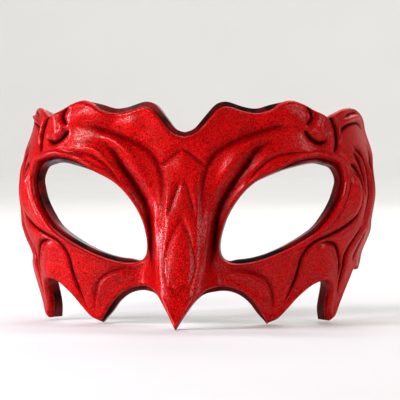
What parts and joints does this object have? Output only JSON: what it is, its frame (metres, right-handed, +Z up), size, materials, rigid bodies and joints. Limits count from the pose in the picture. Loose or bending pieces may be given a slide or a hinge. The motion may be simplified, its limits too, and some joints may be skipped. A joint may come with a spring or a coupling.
{
  "type": "half mask",
  "caption": "Sculpted wrap-round half mask with raised folds, a beaked nose, pointed lower edge, lined and padded back and swinging strap loops.",
  "frame": {"origin": "middle of the footprint at the level of the lowest tips", "axes": "+X to the right in a front view, which spans the temples; the face looks along -Y; +Z up, over the brow"},
  "size_m": [0.1768, 0.0951, 0.1077],
  "materials": {
    "red_paint": "metallic red lacquer over a hard moulded shell, fine grain",
    "lining_cloth": "black flocked cloth",
    "dark_edge": "glossy black-red bound edge",
    "foam_cloth": "soft black foam with a cloth skin",
    "blackened_steel": "blackened steel",
    "loop_steel": "dark nickel",
    "pin_steel": "steel"
  },
  "bodies": {
    "mask": {"face_shell": "red_paint", "inner_lining": "lining_cloth", "edge_binding": "dark_edge", "eye_binding_right": "dark_edge", "eye_binding_left": "dark_edge", "brow_pad": "foam_cloth", "nose_pad_right": "foam_cloth", "nose_pad_left": "foam_cloth", "cheek_pad_right": "foam_cloth", "cheek_pad_left": "foam_cloth", "temple_pad_right": "foam_cloth", "temple_pad_left": "foam_cloth", "temple_bracket_right": "blackened_steel", "temple_bracket_left": "blackened_steel", "hinge_pin_right": "pin_steel", "hinge_pin_left": "pin_steel", "bracket_screws_right": "pin_steel", "bracket_screws_left": "pin_steel"},
    "right_loop": {"strap_loop_right": "loop_steel"},
    "left_loop": {"strap_loop_left": "loop_steel"}
  },
  "joints": [
    {"name": "strap_loop_right_swing", "type": "hinge", "parent": "mask", "child": "right_loop", "pos_m": [0.0716, 0.03545, 0.08568], "axis": [-0.2749, 0.2942, 0.9154], "range_deg": [-8, 75]},
    {"name": "strap_loop_left_swing", "type": "hinge", "parent": "mask", "child": "left_loop", "pos_m": [-0.0716, 0.03545, 0.08568], "axis": [0.2749, 0.2942, 0.9154], "range_deg": [-75, 8]}
  ]
}
